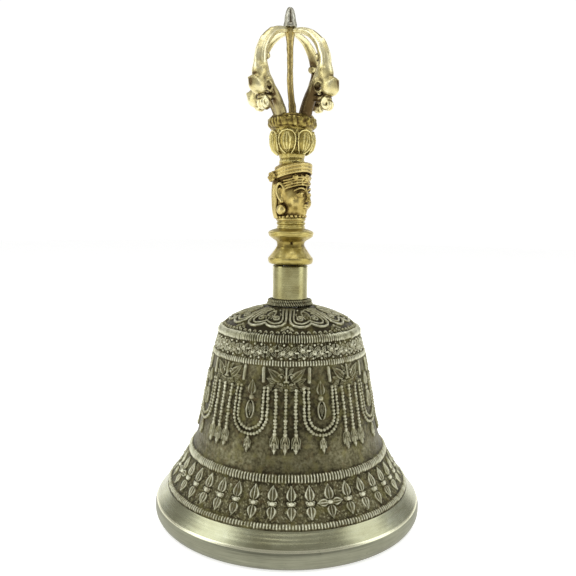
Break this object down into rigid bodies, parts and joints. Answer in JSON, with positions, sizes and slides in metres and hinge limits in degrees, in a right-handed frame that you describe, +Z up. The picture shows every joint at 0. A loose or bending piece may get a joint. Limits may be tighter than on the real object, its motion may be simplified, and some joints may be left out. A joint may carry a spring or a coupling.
{
  "type": "tibetan hand bell",
  "caption": "Hand bell with a flared cast body, a brass handle carrying a crowned head, lotus and half-vajra prong cage, and a clapper hung on a thong inside.",
  "frame": {"origin": "centre of the lip's flat underside, where the bell stands", "axes": "+Z up along the handle; the face on the handle looks 2 degrees from -Y towards +X"},
  "size_m": [0.09, 0.09, 0.1678],
  "materials": {
    "antique_bronze": "antiqued bell metal: dark recesses, rubbed silvery bronze on the raised ornament, satin turned lip",
    "cast_brass": "cast brass, satin, brown patina in the recesses",
    "polished_brass": "smooth polished tube, faint drawing lines and handling marks",
    "grey_finial": "silver-grey worn metal",
    "plain_steel": "plain steel, slightly dull",
    "clapper_bronze": "turned bronze, darkened, bright where it strikes",
    "leather_lace": "dark waxed leather"
  },
  "bodies": {
    "root": {"bell_shell": "antique_bronze", "seat_washer": "antique_bronze", "ferrule": "polished_brass", "handle_casting": "cast_brass", "prong_front": "cast_brass", "prong_right": "cast_brass", "prong_back": "cast_brass", "prong_left": "cast_brass", "central_prong": "cast_brass", "finial_tip": "grey_finial", "eye_stud": "plain_steel", "crown_washer": "plain_steel", "crown_nut": "plain_steel"},
    "thong": {"leather_thong": "leather_lace"},
    "clapper": {"clapper_rod": "plain_steel", "clapper_bob": "clapper_bronze"}
  },
  "joints": [
    {"name": "thong_twist", "type": "hinge", "parent": "root", "child": "thong", "pos_m": [0, 0, 0.0528], "axis": [0, 0, 1], "range_deg": [-90, 90], "deforming": ["leather_thong"]},
    {"name": "clapper_swing", "type": "hinge", "parent": "thong", "child": "clapper", "pos_m": [0, 0, 0.04985], "axis": [1, 0, 0], "range_deg": [-37, 37]}
  ]
}
